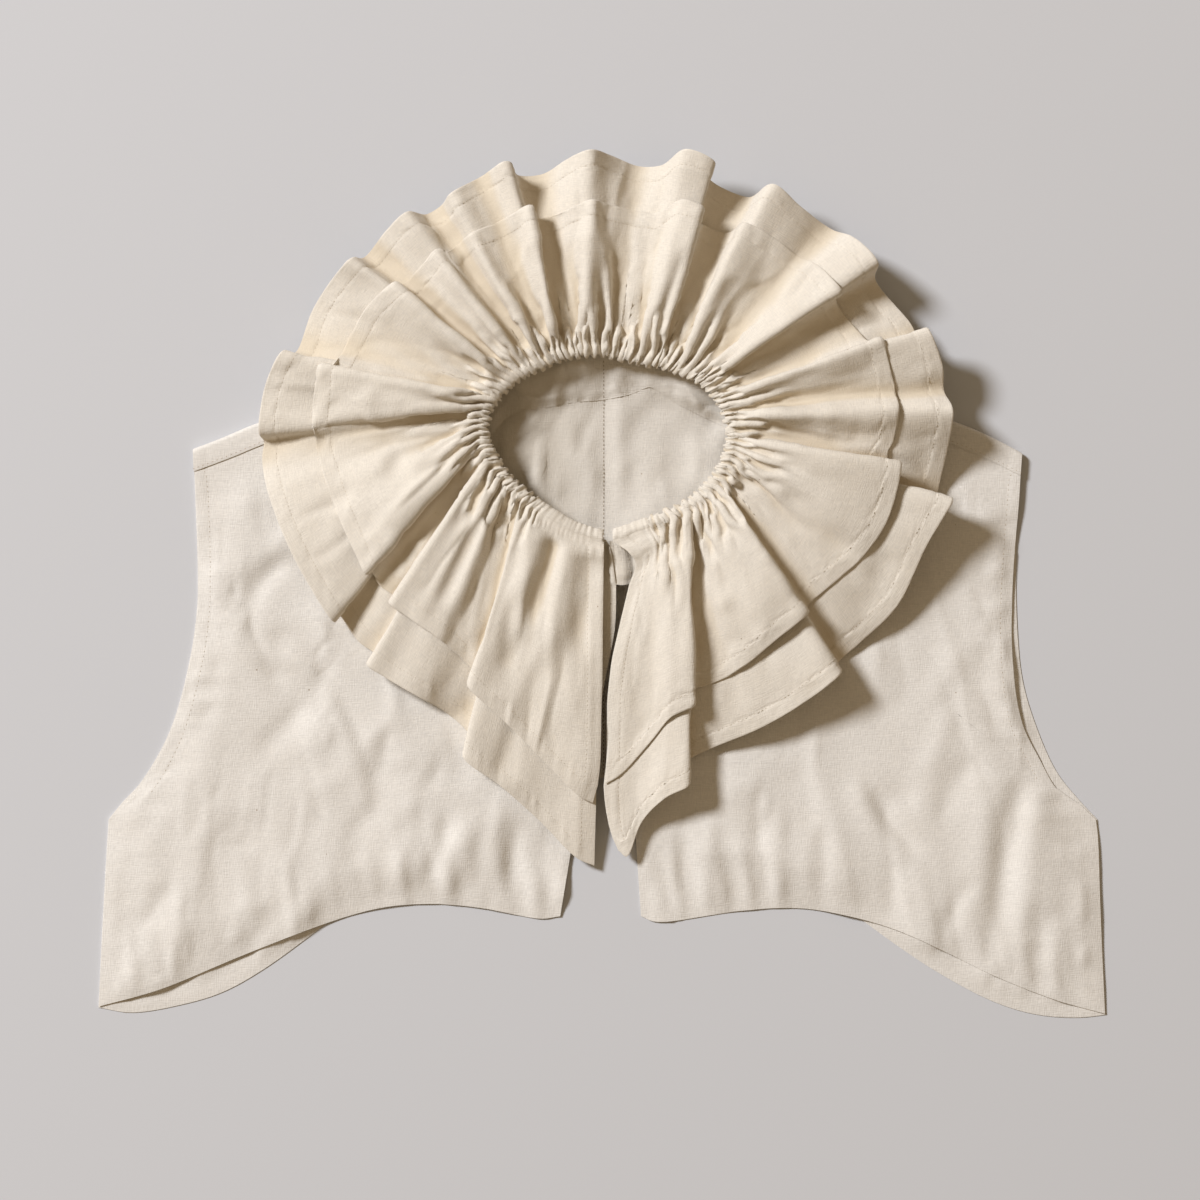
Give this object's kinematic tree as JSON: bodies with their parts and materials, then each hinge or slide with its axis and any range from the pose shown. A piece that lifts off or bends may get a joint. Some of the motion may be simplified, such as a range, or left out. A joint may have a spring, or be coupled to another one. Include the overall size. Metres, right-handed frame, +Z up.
{
  "type": "ruff collar bodice",
  "caption": "Open-fronted sleeveless cropped bodice laid flat, with a gathered ruff collar in two fluted tiers round its neck opening.",
  "frame": {"origin": "middle of the garment's bounding box, on the surface it lies on", "axes": "the garment lies on its back: +X runs across it to the reader's right, +Y from the hem to the nape of the neck, +Z straight up from the surface, out of the front"},
  "size_m": [0.5256, 0.4504, 0.0376],
  "materials": {
    "bodice_muslin": "matt plain-woven unbleached cotton muslin",
    "ruffle_muslin": "matt plain-woven unbleached cotton muslin, a little warmer"
  },
  "bodies": {
    "root": {"back_left": "bodice_muslin", "back_right": "bodice_muslin", "back_neck_facing": "bodice_muslin", "front_left": "bodice_muslin", "front_right": "bodice_muslin", "ruffle_lower": "ruffle_muslin", "ruffle_upper": "ruffle_muslin", "neck_casing": "ruffle_muslin"}
  },
  "joints": []
}
